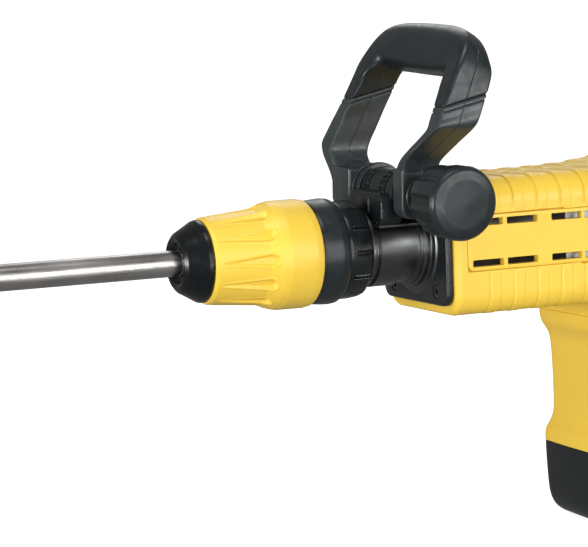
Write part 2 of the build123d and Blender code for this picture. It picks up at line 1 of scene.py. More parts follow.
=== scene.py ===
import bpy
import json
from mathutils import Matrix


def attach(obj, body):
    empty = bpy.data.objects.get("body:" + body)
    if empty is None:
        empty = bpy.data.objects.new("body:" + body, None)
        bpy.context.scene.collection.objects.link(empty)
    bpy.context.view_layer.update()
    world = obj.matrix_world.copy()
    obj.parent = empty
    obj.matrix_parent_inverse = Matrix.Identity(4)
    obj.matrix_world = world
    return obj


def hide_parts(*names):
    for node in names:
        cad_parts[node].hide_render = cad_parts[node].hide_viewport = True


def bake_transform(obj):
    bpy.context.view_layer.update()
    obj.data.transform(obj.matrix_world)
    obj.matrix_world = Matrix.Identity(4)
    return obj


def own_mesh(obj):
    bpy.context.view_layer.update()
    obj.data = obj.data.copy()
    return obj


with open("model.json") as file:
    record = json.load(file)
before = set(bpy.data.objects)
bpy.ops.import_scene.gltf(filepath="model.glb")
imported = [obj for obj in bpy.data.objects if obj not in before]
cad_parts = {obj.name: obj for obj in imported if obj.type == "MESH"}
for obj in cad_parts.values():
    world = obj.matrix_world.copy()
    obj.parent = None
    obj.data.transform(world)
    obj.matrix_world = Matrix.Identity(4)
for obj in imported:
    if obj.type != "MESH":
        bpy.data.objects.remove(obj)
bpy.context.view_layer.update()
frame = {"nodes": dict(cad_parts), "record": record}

import json
import math
import bpy
import bmesh
import numpy as np
from mathutils import Matrix, Vector

scene = bpy.context.scene
MM = 0.001
TAU = 2 * math.pi


# ------------------------------------------------------------------ helpers
def new_object(name, me):
    ob = bpy.data.objects.new(name, me)
    scene.collection.objects.link(ob)
    return ob


def add_mesh(name, verts, faces, sharp=32.0, scale=MM):
    me = bpy.data.meshes.new(name)
    v = np.asarray(verts, float) * scale
    me.from_pydata(v.tolist(), [], [tuple(int(i) for i in f) for f in faces])
    me.update()
    bm = bmesh.new()
    bm.from_mesh(me)
    bmesh.ops.recalc_face_normals(bm, faces=bm.faces)
    bm.to_mesh(me)
    bm.free()
    finish_mesh(me, sharp)
    return new_object(name, me)


def finish_mesh(me, sharp=32.0):
    me.shade_smooth()
    me.set_sharp_from_angle(angle=math.radians(sharp))


def bake(ob, sharp=32.0):
    """Replace an object's mesh by its evaluated one and drop its modifiers."""
    dg = bpy.context.evaluated_depsgraph_get()
    me = bpy.data.meshes.new_from_object(ob.evaluated_get(dg))
    ob.modifiers.clear()
    ob.data = me
    finish_mesh(me, sharp)
    return ob


def cut(ob, cutters, sharp=32.0):
    for c in cutters:
        m = ob.modifiers.new("cut", "BOOLEAN")
        m.operation = "DIFFERENCE"
        m.solver = "EXACT"
        m.object = c
    bpy.context.view_layer.update()
    bake(ob, sharp)
    for c in cutters:
        bpy.data.objects.remove(c)
    return ob


def join(name, obs, sharp=32.0):
    bm = bmesh.new()
    for o in obs:
        me = o.data.copy()
        me.transform(o.matrix_world)
        bm.from_mesh(me)
        bpy.data.meshes.remove(me)
    me = bpy.data.meshes.new(name)
    bm.to_mesh(me)
    bm.free()
    for o in obs:
        bpy.data.objects.remove(o)
    finish_mesh(me, sharp)
    return new_object(name, me)


def rounded(pts, closed=True, n=5):
    """Polyline with rounded corners: pts are (x, y, radius)."""
    out = []
    m = len(pts)
    for i, p in enumerate(pts):
        r = p[2] if len(p) > 2 else 0
        if r <= 0 or (not closed and i in (0, m - 1)):
            out.append((p[0], p[1]))
            continue
        a, b, c = np.array(pts[i - 1][:2], float), np.array(p[:2], float), np.array(pts[(i + 1) % m][:2], float)
        u, v = a - b, c - b
        lu, lv = np.linalg.norm(u), np.linalg.norm(v)
        u, v = u / lu, v / lv
        ang = math.acos(max(-1, min(1, float(u @ v))))
        if ang > math.pi - 0.02:
            out.append((p[0], p[1]))
            continue
        t = min(r / math.tan(ang / 2), 0.49 * lu, 0.49 * lv)
        rr = t * math.tan(ang / 2)
        cen = b + (u + v) / np.linalg.norm(u + v) * (rr / math.sin(ang / 2))
        s, e = b + u * t - cen, b + v * t - cen
        a0, a1 = math.atan2(s[1], s[0]), math.atan2(e[1], e[0])
        d = (a1 - a0 + math.pi) % TAU - math.pi
        for k in range(n + 1):
            q = a0 + d * k / n
            out.append((cen[0] + rr * math.cos(q), cen[1] + rr * math.sin(q)))
    return out


def densify(pts, step, closed=True):
    out = []
    m = len(pts)
    for i in range(m if closed else m - 1):
        a, b = np.array(pts[i], float), np.array(pts[(i + 1) % m], float)
        k = max(1, int(math.ceil(np.linalg.norm(b - a) / step)))
        for j in range(k):
            out.append(tuple(a + (b - a) * j / k))
    if not closed:
        out.append(tuple(pts[-1]))
    return out


def lathe(name, prof, n=128, closed=True, mod=None, sharp=32.0, frame_fn=None):
    """Turned about X; prof is (x, r); mod(x, r, theta) gives the new radius. Theta 0 is +Y, 90 degrees is +Z."""
    p = np.array(prof, float)
    th = np.arange(n) * TAU / n
    X = np.repeat(p[:, :1], n, 1)
    R = np.repeat(p[:, 1:2], n, 1)
    TH = np.repeat(th[None, :], len(p), 0)
    if mod is not None:
        R = mod(X, R, TH)
    V = np.stack([X, R * np.cos(TH), R * np.sin(TH)], -1).reshape(-1, 3)
    if frame_fn is not None:
        V = frame_fn(V)
    F = []
    m = len(p)
    for i in range(m if closed else m - 1):
        a, b = i * n, ((i + 1) % m) * n
        ra, rb = p[i, 1], p[(i + 1) % m, 1]
        if ra < 1e-6 and rb < 1e-6:
            continue
        for j in range(n):
            k = (j + 1) % n
            F.append((a + j, a + k, b + k, b + j))
    ob = add_mesh(name, V, F, sharp)
    bm = bmesh.new()
    bm.from_mesh(ob.data)
    bmesh.ops.remove_doubles(bm, verts=bm.verts, dist=1e-6)
    bmesh.ops.dissolve_degenerate(bm, edges=bm.edges, dist=1e-7)
    loose = [v for v in bm.verts if not v.link_faces]
    bmesh.ops.delete(bm, geom=loose, context="VERTS")
    bmesh.ops.recalc_face_normals(bm, faces=bm.faces)
    bm.to_mesh(ob.data)
    bm.free()
    finish_mesh(ob.data, sharp)
    return ob


def prism(name, outline, a0, a1, axis="y", bevel=0.0, segs=4, sharp=32.0, rim=True):
    """Closed outline extruded along an axis between a0 and a1, with its rims rounded."""
    bm = bmesh.new()
    def pt(u, v, a):
        return {"y": (u, a, v), "x": (a, u, v), "z": (u, v, a)}[axis]
    lo = [bm.verts.new([c * MM for c in pt(u, v, a0)]) for u, v in outline]
    hi = [bm.verts.new([c * MM for c in pt(u, v, a1)]) for u, v in outline]
    n = len(outline)
    f0 = bm.faces.new(lo)
    f1 = bm.faces.new(list(reversed(hi)))
    for i in range(n):
        bm.faces.new((lo[i], hi[i], hi[(i + 1) % n], lo[(i + 1) % n]))
    bmesh.ops.recalc_face_normals(bm, faces=bm.faces)
    if bevel > 0:
        ed = []
        if rim in (True, "lo"):
            ed += list(f0.edges)
        if rim in (True, "hi"):
            ed += list(f1.edges)
        bmesh.ops.bevel(bm, geom=ed, offset=bevel * MM, segments=segs, affect="EDGES", profile=0.5, clamp_overlap=True)
    me = bpy.data.meshes.new(name)
    bm.to_mesh(me)
    bm.free()
    finish_mesh(me, sharp)
    return new_object(name, me)


def cyl(name, p0, p1, r, n=48, bevel=0.0):
    p0, p1 = Vector(p0) * MM, Vector(p1) * MM
    bm = bmesh.new()
    d = p1 - p0
    bmesh.ops.create_cone(bm, cap_ends=True, segments=n, radius1=r * MM, radius2=r * MM, depth=d.length)
    if bevel > 0:
        ed = [e for e in bm.edges if abs(e.verts[0].co.z - e.verts[1].co.z) < 1e-7 and abs(abs(e.verts[0].co.z) - d.length / 2) < 1e-6]
        bmesh.ops.bevel(bm, geom=ed, offset=bevel * MM, segments=3, affect="EDGES", profile=0.5)
    q = d.to_track_quat("Z", "Y").to_matrix().to_4x4()
    bm.transform(Matrix.Translation((p0 + p1) / 2) @ q)
    me = bpy.data.meshes.new(name)
    bm.to_mesh(me)
    bm.free()
    finish_mesh(me)
    return new_object(name, me)


def boxo(name, x0, x1, y0, y1, z0, z1, bevel=0.0):
    bm = bmesh.new()
    bmesh.ops.create_cube(bm, size=1.0)
    bm.transform(Matrix.Translation(Vector(((x0 + x1) / 2, (y0 + y1) / 2, (z0 + z1) / 2)) * MM) @ Matrix.Diagonal(((x1 - x0) * MM, (y1 - y0) * MM, (z1 - z0) * MM, 1)))
    if bevel > 0:
        bmesh.ops.bevel(bm, geom=list(bm.edges), offset=bevel * MM, segments=3, affect="EDGES", profile=0.5)
    me = bpy.data.meshes.new(name)
    bm.to_mesh(me)
    bm.free()
    finish_mesh(me)
    return new_object(name, me)


def sstep(a, b, x):
    t = np.clip((x - a) / (b - a), 0, 1)
    return t * t * (3 - 2 * t)


# ---------------------------------------------------------------- materials
def node_mat(name, base, rough=0.5, metal=0.0, var=0.06, var_scale=40.0, grain_scale=900.0, grain=0.05, rough_var=0.08,
             stretch=None, coat=0.0, spec=0.5, wear=None, dirt=0.0, grain2=None, sheen=0.0, subsurf=0.0):
    """Procedural finish: large soft colour variation, fine grain in the bump, roughness that varies, optional worn streaks."""
    m = bpy.data.materials.new(name)
    m.use_nodes = True
    nt = m.node_tree
    for n in list(nt.nodes):
        nt.nodes.remove(n)
    out = nt.nodes.new("ShaderNodeOutputMaterial")
    bs = nt.nodes.new("ShaderNodeBsdfPrincipled")
    nt.links.new(bs.outputs[0], out.inputs[0])
    bs.inputs["Metallic"].default_value = metal
    bs.inputs["Specular IOR Level"].default_value = spec
    if coat:
        bs.inputs["Coat Weight"].default_value = coat
        bs.inputs["Coat Roughness"].default_value = 0.12
    if sheen:
        bs.inputs["Sheen Weight"].default_value = sheen
        bs.inputs["Sheen Roughness"].default_value = 0.4
    tc = nt.nodes.new("ShaderNodeTexCoord")
    src = tc.outputs["Object"]
    mp = nt.nodes.new("ShaderNodeMapping")
    nt.links.new(src, mp.inputs["Vector"])
    if stretch:
        mp.inputs["Scale"].default_value = stretch
    big = nt.nodes.new("ShaderNodeTexNoise")
    big.inputs["Scale"].default_value = var_scale
    big.inputs["Detail"].default_value = 5.0
    big.inputs["Roughness"].default_value = 0.6
    nt.links.new(src, big.inputs["Vector"])
    ramp = nt.nodes.new("ShaderNodeValToRGB")
    c0 = [max(0.0, c * (1 - var)) for c in base]
    c1 = [min(1.0, c * (1 + var)) for c in base]
    ramp.color_ramp.elements[0].position = 0.3
    ramp.color_ramp.elements[1].position = 0.7
    ramp.color_ramp.elements[0].color = (*c0, 1)
    ramp.color_ramp.elements[1].color = (*c1, 1)
    nt.links.new(big.outputs["Fac"], ramp.inputs["Fac"])
    colour = ramp.outputs["Color"]
    fine = nt.nodes.new("ShaderNodeTexNoise")
    fine.inputs["Scale"].default_value = grain_scale
    fine.inputs["Detail"].default_value = 3.0
    nt.links.new(mp.outputs["Vector"], fine.inputs["Vector"])
    if wear is not None:
        wcol, wscale, wlo, whi = wear
        wn = nt.nodes.new("ShaderNodeTexNoise")
        wn.inputs["Scale"].default_value = wscale
        wn.inputs["Detail"].default_value = 8.0
        wn.inputs["Roughness"].default_value = 0.7
        nt.links.new(mp.outputs["Vector"], wn.inputs["Vector"])
        wr = nt.nodes.new("ShaderNodeMapRange")
        wr.inputs["From Min"].default_value = wlo
        wr.inputs["From Max"].default_value = whi
        nt.links.new(wn.outputs["Fac"], wr.inputs["Value"])
        mx = nt.nodes.new("ShaderNodeMix")
        mx.data_type = "RGBA"
        nt.links.new(wr.outputs["Result"], mx.inputs["Factor"])
        nt.links.new(colour, mx.inputs["A"])
        mx.inputs["B"].default_value = (*wcol, 1)
        colour = mx.outputs["Result"]
    nt.links.new(colour, bs.inputs["Base Color"])
    rr = nt.nodes.new("ShaderNodeMapRange")
    rr.inputs["From Min"].default_value = 0.3
    rr.inputs["From Max"].default_value = 0.7
    rr.inputs["To Min"].default_value = max(0.03, rough - rough_var)
    rr.inputs["To Max"].default_value = min(1.0, rough + rough_var)
    mid = nt.nodes.new("ShaderNodeTexNoise")
    mid.inputs["Scale"].default_value = var_scale * 4
    mid.inputs["Detail"].default_value = 6.0
    nt.links.new(mp.outputs["Vector"], mid.inputs["Vector"])
    nt.links.new(mid.outputs["Fac"], rr.inputs["Value"])
    nt.links.new(rr.outputs["Result"], bs.inputs["Roughness"])
    bp = nt.nodes.new("ShaderNodeBump")
    bp.inputs["Strength"].default_value = 0.6
    bp.inputs["Distance"].default_value = grain * MM
    nt.links.new(fine.outputs["Fac"], bp.inputs["Height"])
    nrm = bp.outputs["Normal"]
    if grain2 is not None:
        s2, d2 = grain2
        n2 = nt.nodes.new("ShaderNodeTexVoronoi")
        n2.inputs["Scale"].default_value = s2
        nt.links.new(src, n2.inputs["Vector"])
        b2 = nt.nodes.new("ShaderNodeBump")
        b2.inputs["Strength"].default_value = 0.5
        b2.inputs["Distance"].default_value = d2 * MM
        nt.links.new(n2.outputs["Distance"], b2.inputs["Height"])
        nt.links.new(nrm, b2.inputs["Normal"])
        nrm = b2.outputs["Normal"]
    nt.links.new(nrm, bs.inputs["Normal"])
    return m


YEL = (0.86, 0.575, 0.060)
M = {
    "yellow_plastic": node_mat("yellow_moulded_plastic", YEL, 0.40, 0, var=0.025, var_scale=18, grain_scale=1500, grain=0.035, rough_var=0.06, spec=0.45, grain2=(1300, 0.02)),
    "black_plastic": node_mat("black_moulded_plastic", (0.0065, 0.0085, 0.010), 0.30, 0, var=0.25, var_scale=30, grain_scale=1500, grain=0.035, rough_var=0.08, spec=0.42, grain2=(1100, 0.02)),
    # Loop-frame legs: the same black plastic, rougher for its textured finish, with a lighter base colour that is
    # painted light standing in for the lit grey faces of the legs
    "textured_leg_plastic_painted_lit": node_mat("textured_black_plastic_painted_lit", (0.024, 0.031, 0.033), 0.36, 0, var=0.25, var_scale=55, grain_scale=1400, grain=0.05, rough_var=0.08, spec=0.55, grain2=(900, 0.03)),
    "black_rubber": node_mat("black_rubber_moulding", (0.004, 0.0052, 0.006), 0.27, 0, var=0.25, var_scale=60, grain_scale=1700, grain=0.02, rough_var=0.06, spec=0.3),
    "soft_grip": node_mat("soft_grip_moulding", (0.011, 0.0155, 0.0175), 0.35, 0, var=0.22, var_scale=45, grain_scale=1600, grain=0.045, rough_var=0.07, spec=0.42),
    "bright_steel": node_mat("bright_ground_steel", (0.52, 0.52, 0.51), 0.30, 1.0, var=0.08, var_scale=60, grain_scale=500, grain=0.01, rough_var=0.1, stretch=(0.08, 4, 4)),
    "forged_steel": node_mat("ground_chisel_steel", (0.40, 0.385, 0.37), 0.34, 1.0, var=0.16, var_scale=35, grain_scale=700, grain=0.025, rough_var=0.12, stretch=(0.12, 2.5, 2.5),
                             wear=((0.16, 0.145, 0.13), 60, 0.55, 0.85)),
    "dark_steel": node_mat("blackened_steel", (0.10, 0.10, 0.105), 0.42, 1.0, var=0.2, var_scale=60, grain_scale=900, grain=0.02, rough_var=0.12),
    "cast_alloy": node_mat("cast_alloy", (0.50, 0.51, 0.52), 0.5, 1.0, var=0.12, var_scale=50, grain_scale=700, grain=0.12, rough_var=0.12),
    "black_casting": node_mat("black_cast_flange", (0.008, 0.010, 0.012), 0.34, 0.0, var=0.25, var_scale=70, grain_scale=900, grain=0.08, rough_var=0.1, spec=0.5),
    "satin_barrel": node_mat("dark_satin_barrel", (0.105, 0.108, 0.11), 0.33, 1.0, var=0.10, var_scale=30, grain_scale=500, grain=0.003, rough_var=0.05),
    "copper": node_mat("enamelled_copper", (0.62, 0.27, 0.12), 0.35, 1.0, var=0.15, var_scale=120, grain_scale=1200, grain=0.15, rough_var=0.1, stretch=(1, 1, 5)),
    "bronze": node_mat("sintered_bronze", (0.50, 0.34, 0.16), 0.45, 1.0, var=0.15, var_scale=100, grain_scale=1500, grain=0.05, rough_var=0.12),
    "carbon": node_mat("pressed_carbon", (0.03, 0.03, 0.031), 0.6, 0, var=0.2, var_scale=200, grain_scale=1500, grain=0.08),
    "red_plastic": node_mat("red_moulded_plastic", (0.42, 0.018, 0.012), 0.35, 0, var=0.06, var_scale=40, grain_scale=1500, grain=0.04, rough_var=0.07),
}
RECORD_SLOT = {s["node"]: s["material_slot"] for s in frame["record"]["subparts"]}
for node, ob in frame["nodes"].items():
    ob.data.materials.clear()
    ob.data.materials.append(M[RECORD_SLOT[node]])
    ob.material_slots[0].material = M[RECORD_SLOT[node]]


def piece(ob, body, mat, *nodes, slot=None):
    ob.data.materials.clear()
    ob.data.materials.append(M[mat])
    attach(ob, body)
    if nodes:
        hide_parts(*nodes)
    return ob


# ------------------------------------------------------------------- camera
cam_data = bpy.data.cameras.new("camera")
cam = bpy.data.objects.new("camera", cam_data)
scene.collection.objects.link(cam)
right = Vector((0.90882302, -0.41545035, -0.03796997))
up = Vector((0.07922322, 0.0825108, 0.99343628))
back = Vector((-0.40959052, -0.90586587, 0.10790103))
rot = Matrix((right, up, back)).transposed()
cam.matrix_world = Matrix.Translation(Vector((-0.4742, -1.2429, 0.1342))) @ rot.to_4x4()
cam_data.sensor_fit = "HORIZONTAL"
cam_data.sensor_width = 36.0
cam_data.lens = 1967.93 * 36.0 / 588.0
cam_data.clip_start = 0.01
cam_data.clip_end = 50.0
scene.camera = cam

# ------------------------------------------------------------ nose: turned parts
DEG = math.pi / 180

# chisel with a four-sided point
cp = densify(rounded([(85, 0), (85, 9, 1.0), (78, 9, 0.6), (78, 7.2, 0.5), (48, 7.2, 0.5), (48, 9, 0.6), (2, 9, 0.3), (2, 8.5), (0, 8.5), (0, 9, 0.3), (-262, 9), (-311, 1.4, 1.0), (-315, 0)], closed=False), 4.0, closed=False)
def chisel_mod(X, R, TH):
    t = sstep(-258, -285, X)
    sq = 1.0 / np.maximum(np.abs(np.cos((TH + math.pi / 4) % (math.pi / 2) - math.pi / 4)), 0.7)
    taper = np.where(X < -262, R * np.minimum(sq, 1.16) * 0.93, R)
    return np.minimum(R * (1 - t) + taper * t, 9.0)
chisel = lathe("chisel_shaft_and_point", cp, 96, closed=False, mod=chisel_mod, sharp=30)
piece(chisel, "chisel", "forged_steel", "chisel")

cap_prof = rounded([(5.5, 9.4), (3.2, 9.4, 0.4), (3.2, 12.6, 1.0), (0.2, 14.4, 1.2), (-0.9, 17.6, 1.6), (1.6, 20.8, 2.5), (9, 25.0, 8), (14.2, 28.1, 3.0), (17.3, 28.6, 1.2), (17.4, 26.5), (17.4, 16), (5.5, 16)], n=7)
piece(lathe("rubber_dust_cap", densify(cap_prof, 1.2), 160), "tool_holder", "black_rubber", "dust_cap")

sl_out = [(26, 20.3), (18.1, 20.3, 0.4), (18.0, 28.9, 1.2), (20.5, 30.1, 1.4), (37.5, 31.4), (53.5, 32.9), (56.5, 33.2, 5), (61, 34.9, 8), (66.0, 37.0, 6), (71, 38.0, 5), (89.5, 38.2, 4), (93.8, 37.5, 1.6), (95.2, 36.1, 0.6), (95.2, 33.2, 0.3),
          (102.5, 33.2), (102.5, 32), (66, 32), (60, 26.2), (26, 26.2)]
def sleeve_mod(X, R, TH):
    d = (TH + math.pi / 12) % (math.pi / 6) - math.pi / 12
    a, b = 23.0, 58.0
    rad = 0.5 + (np.clip(X, a, b) - a) / (b - a) * 3.6
    dist = np.sqrt((X - np.clip(X, a, b)) ** 2 + (R * d) ** 2) - rad
    mask = 1 - sstep(-1.5, 0.3, dist)
    floor = 29.3 + (X - 20) * 0.055 - 0.2 * sstep(40, 60, X)
    lip = 0.32 * np.exp(-((dist - 0.75) / 0.55) ** 2) * sstep(20, 30, X)
    out = R - np.clip(R - floor, 0, 9) * mask + lip
    return np.where((R > 27.5) & (X < 75) & (X > 17), out, R)
piece(lathe("locking_sleeve_skin", densify(rounded(sl_out, n=6), 0.55), 720, mod=sleeve_mod, sharp=50), "locking_sleeve", "yellow_plastic", "locking_sleeve")

bd = rounded([(95.6, 33.2), (95.6, 35.6, 0.8), (97.6, 36.3, 3), (104, 37.0, 12), (109.5, 37.35, 6), (113.6, 36.9, 2.2), (115.7, 35.7, 0.5), (115.7, 35.0), (102.9, 35.0), (102.9, 33.2)], n=6)
piece(lathe("sleeve_rear_band_skin", densify(bd, 0.8), 192), "locking_sleeve", "soft_grip", "sleeve_rear_band")

rp = rounded([(136.0, 24.3), (116.2, 24.3), (116.2, 33.7, 0.6), (118.2, 34.3, 1.2), (128, 34.15, 10), (132.6, 33.6, 3), (135.2, 31.2, 2.0), (136.0, 28.9, 0.4)], n=6)
def ring_mod(X, R, TH):
    d = (TH + math.pi / 12) % (math.pi / 6) - math.pi / 12
    dist = np.sqrt(np.clip(120.6 - X, 0, None) ** 2 + (R * d) ** 2)
    groove = 1 - sstep(0.55, 0.95, dist)
    lip = np.exp(-((dist - 1.35) / 0.4) ** 2) * 0.5 * sstep(119.9, 121.4, X)
    out = R - 1.25 * groove + lip
    return np.where(R > 30.5, out, R)
piece(lathe("slotted_angle_ring", densify(rp, 0.5), 960, mod=ring_mod, sharp=40), "angle_ring", "black_plastic", "angle_ring")

nr = rounded([(136.3, 25), (136.3, 28.3, 0.5), (139.4, 28.5, 0.6), (139.5, 25)], n=4)
piece(lathe("dark_nose_ring", nr, 160), "housing", "satin_barrel", "nose_ring")
bl = rounded([(136.3, 23), (136.3, 25), (139.5, 25), (139.5, 25.8, 0.3), (141.9, 25.8, 0.3), (142.0, 26.7, 0.4), (173.2, 26.7, 0.6), (173.6, 28.4, 0.5), (176.8, 28.5, 0.5), (177.2, 29.9, 0.4), (181.0, 30.0, 0.9), (181.5, 34.6, 0.5), (182.6, 36.0, 0.6),
              (188, 36), (188, 23)], n=4)
piece(lathe("stepped_barrel", densify(bl, 2.0), 192), "housing", "satin_barrel", "barrel_housing")

# ------------------------------------------------------------ front flange
def rrect(x0, x1, z0, z1, r, n=8, mid=0):
    pts = []
    for cx, cz, a in ((x1 - r, z1 - r, 0), (x0 + r, z1 - r, 90), (x0 + r, z0 + r, 180), (x1 - r, z0 + r, 270)):
        for k in range(n + 1):
            q = (a + 90 * k / n) * DEG
            pts.append((cx + r * math.cos(q), cz + r * math.sin(q)))
    return pts
flange = prism("front_flange_casting", rrect(-48, 48, -41.5, 41.5, 9, n=10), 182.5, 188, axis="x", bevel=1.3, segs=4)
cuts = [cyl("c", (181, 0, 0), (190, 0, 0), 36.0, 96)]
for sy in (-1, 1):
    for sz in (-1, 1):
        cuts.append(cyl("c", (181, sy * 31.7, sz * 31.7), (185.6, sy * 31.7, sz * 31.7), 5.0, 40, bevel=0))
cut(flange, cuts)
piece(flange, "housing", "black_casting", "front_flange")

# ------------------------------------------------------------ yellow body
XS = [188, 190, 192.5, 300, 334, 352, 385, 415, 428, 435, 438.6, 440]
HW = [50.2, 51.4, 52, 52, 52, 52, 52, 51, 49.8, 48.0, 46.2, 44.0]
ZB = [-47.4, -48.9, -49.5, -49.5, -49.5, -49.5, -49.5, -49.5, -49.5, -49.3, -47.5, -45]
ZT = [45.0, 46.3, 47.0, 48.2, 50.0, 53.0, 57.5, 60, 59.6, 57.8, 55.4, 52.0]
def sec(x):
    return (np.interp(x, XS, HW), np.interp(x, XS, ZB), np.interp(x, XS, ZT))
def smooth_interp(xs, ys, q, w=6.0):
    """Piecewise-linear table, blurred a little so that stations join softly."""
    acc = 0
    ws = [(-1, 0.15), (-0.5, 0.2), (0, 0.3), (0.5, 0.2), (1, 0.15)]
    for d, k in ws:
        acc = acc + k * np.interp(q + d * w, xs, ys)
    return acc
PANEL = (197.5, 380.0, -17.6, 22.0)
def half_shell(name, side):
    xs = np.concatenate([np.linspace(188, 193, 12)[:-1], np.arange(193, 428, 0.62), np.linspace(428, 440, 26)])
    rows = []
    for x in xs:
        w = np.interp(x, XS, HW) if x < 200 or x > 420 else smooth_interp(XS, HW, x, 5)
        zb = np.interp(x, XS, ZB)
        zt = np.interp(x, XS, ZT) if x < 200 or x > 425 else smooth_interp(XS, ZT, x, 12)
        rt = 19.0 if x < 420 else 19.0 - (x - 420) * 0.05
        rb = 15.0
        pts, nrm = [], []
        for k in range(26):
            t = k / 26
            y = t * (w - rb)
            pts.append((y, zb)); nrm.append((0, -1))
        for k in range(14):
            q = (-90 + 90 * k / 14) * DEG
            pts.append((w - rb + rb * math.cos(q), zb + rb + rb * math.sin(q))); nrm.append((math.cos(q), math.sin(q)))
        for k in range(64):
            t = k / 64
            pts.append((w, zb + rb + t * (zt - rt - zb - rb))); nrm.append((1, 0))
        for k in range(20):
            q = (90 * k / 20) * DEG
            pts.append((w - rt + rt * math.cos(q), zt - rt + rt * math.sin(q))); nrm.append((math.cos(q), math.sin(q)))
        for k in range(27):
            t = k / 26
            pts.append(((w - rt) * (1 - t), zt)); nrm.append((0, 1))
        rows.append((x, pts, nrm))
    V, idx = [], []
    m = len(rows[0][1])
    for x, pts, nrm in rows:
        ph = ((x - 215.1 + 500 * 19.7) % 19.7)
        ph = ph - 19.7 if ph > 9.85 else ph
        strong = math.exp(-(ph / 0.62) ** 2)
        ph2 = abs(ph) - 9.85
        weak = math.exp(-(ph2 / 0.7) ** 2)
        u = (x - 215.1) % 19.7
        ridge = 0.62 * float(sstep(0.3, 1.6, u) * (1 - sstep(7.0, 10.6, u)))
        on = 1.0 if 205 < x < 432 else 0.0
        for (y, z), (ny, nz) in zip(pts, nrm):
            inpanel = (PANEL[0] - 2.2 < x < PANEL[1] + 2.2) and (PANEL[2] - 1.6 < z < PANEL[3] + 1.6) and y > 48
            recess = 3.0 if (PANEL[0] < x < PANEL[1] and PANEL[2] < z < PANEL[3] and y > 48) else 0.0
            d = 0.0
            if on and not inpanel:
                d = -0.85 * strong - 0.3 * weak + ridge * (1.0 if abs(nz) > 0.2 else 0.45)
                fade = float(sstep(1.2, 7.0, y))
                d *= (0.35 + 0.65 * fade) * (0.6 if z < -17 else 1.0)
                d *= float(sstep(205, 209, x)) * float(1 - sstep(426, 432, x))
            d -= 0.5 * float(sstep(1.0, 0.0, y))
            crown = 0.5 * (1 - ((z - 0) / 40.0) ** 2) if ny > 0.99 else 0.0
            yy = min(y + ny * (d - 0.55) + max(0.0, crown) * 0.6, 52.6) - recess
            V.append((x, side * yy, z + nz * (d - 0.4)))
    n = len(rows)
    F = []
    for i in range(n - 1):
        xm = (rows[i][0] + rows[i + 1][0]) / 2
        for j in range(m - 1):
            z = (rows[i][1][j][1] + rows[i][1][j + 1][1]) / 2
            y = (rows[i][1][j][0] + rows[i][1][j + 1][0]) / 2
            if PANEL[0] + 3 < xm < 358 and (12.9 < z < 20.6 or -16.2 < z < -8.0) and y > 48:
                continue
            F.append((i * m + j, (i + 1) * m + j, (i + 1) * m + j + 1, i * m + j + 1))
    # front wall, an annulus round the barrel boss
    V = list(V)
    fb = len(V)
    for j in range(m):
        q = math.hypot(V[j][1], V[j][2])
        V.append((188.25, V[j][1] / q * 36.6, V[j][2] / q * 36.6))
    for j in range(m - 1):
        F.append((j, j + 1, fb + j + 1, fb + j))
    # rear wall
    base = len(V)
    last = (n - 1) * m
    V.append((440.3, 0.0, 4.0))
    for j in range(m - 1):
        F.append((last + j, base, last + j + 1))
    ob = add_mesh(name, V, F, 40)
    return ob


def half_neck(name, side):
    zs = np.linspace(-44, -61, 26)
    V, F = [], []
    cols = None
    for z in zs:
        t = (-z - 44) / 17.0
        xf = 302.4 + 7.5 * (1 - (1 - t) ** 2.6)
        xr = 434 - 4.0 * t
        w = 50.3 - 2.3 * t
        r = 13.0
        pts = [(xf, k / 14 * (w - r)) for k in range(14)]
        pts += [(xf + r - r * math.cos(q), w - r + r * math.sin(q)) for q in np.linspace(0, math.pi / 2, 14)[:-1]]
        pts += [(xf + r + k / 30 * (xr - r - xf - r), w) for k in range(30)]
        pts += [(xr - r + r * math.sin(q), w - r + r * math.cos(q)) for q in np.linspace(0, math.pi / 2, 14)[:-1]]
        pts += [(xr, (w - r) * (1 - k / 12)) for k in range(13)]
        cols = len(pts)
        for x, y in pts:
            V.append((x, side * y, z))
    for i in range(len(zs) - 1):
        for j in range(cols - 1):
            F.append((i * cols + j, (i + 1) * cols + j, (i + 1) * cols + j + 1, i * cols + j + 1))
    return add_mesh(name, V, F, 40)


def thicken(ob, t):
    m = ob.modifiers.new("wall", "SOLIDIFY")
    m.thickness = t * MM
    m.offset = -1.0
    m.use_even_offset = True
    return ob


def fix_outward(ob, centre):
    """Make an open skin's normals point away from a centre point, in mm."""
    c = Vector(centre) * MM
    s = 0.0
    for p in ob.data.polygons:
        s += (Vector(p.center) - c).dot(p.normal) * p.area
    if s < 0:
        ob.data.flip_normals()
    return ob


for side, nm, node in ((-1, "yellow_shell_left", "housing_left"), (1, "yellow_shell_right", "housing_right")):
    a = fix_outward(half_shell(nm + "_a", side), (310, 0, 0))
    thicken(a, 2.6)
    bpy.context.view_layer.update()
    bake(a, 40)
    b = fix_outward(half_neck(nm + "_b", side), (372, 0, -52))
    thicken(b, 2.6)
    bpy.context.view_layer.update()
    bake(b, 40)
    if side > 0:
        before = len(a.data.polygons)
        keep = a.data.copy()
        cut(a, [cyl("c", (x, 44, z), (x, 60, z), 3.7, 32) for x, z in ((222, 38.6), (222, -40.4), (418, 44), (424, -36))], 40)
        if len(a.data.polygons) < 0.8 * before:
            a.data = keep
    sh = join(nm, [a, b], 40)
    piece(sh, "housing", "yellow_plastic", node)

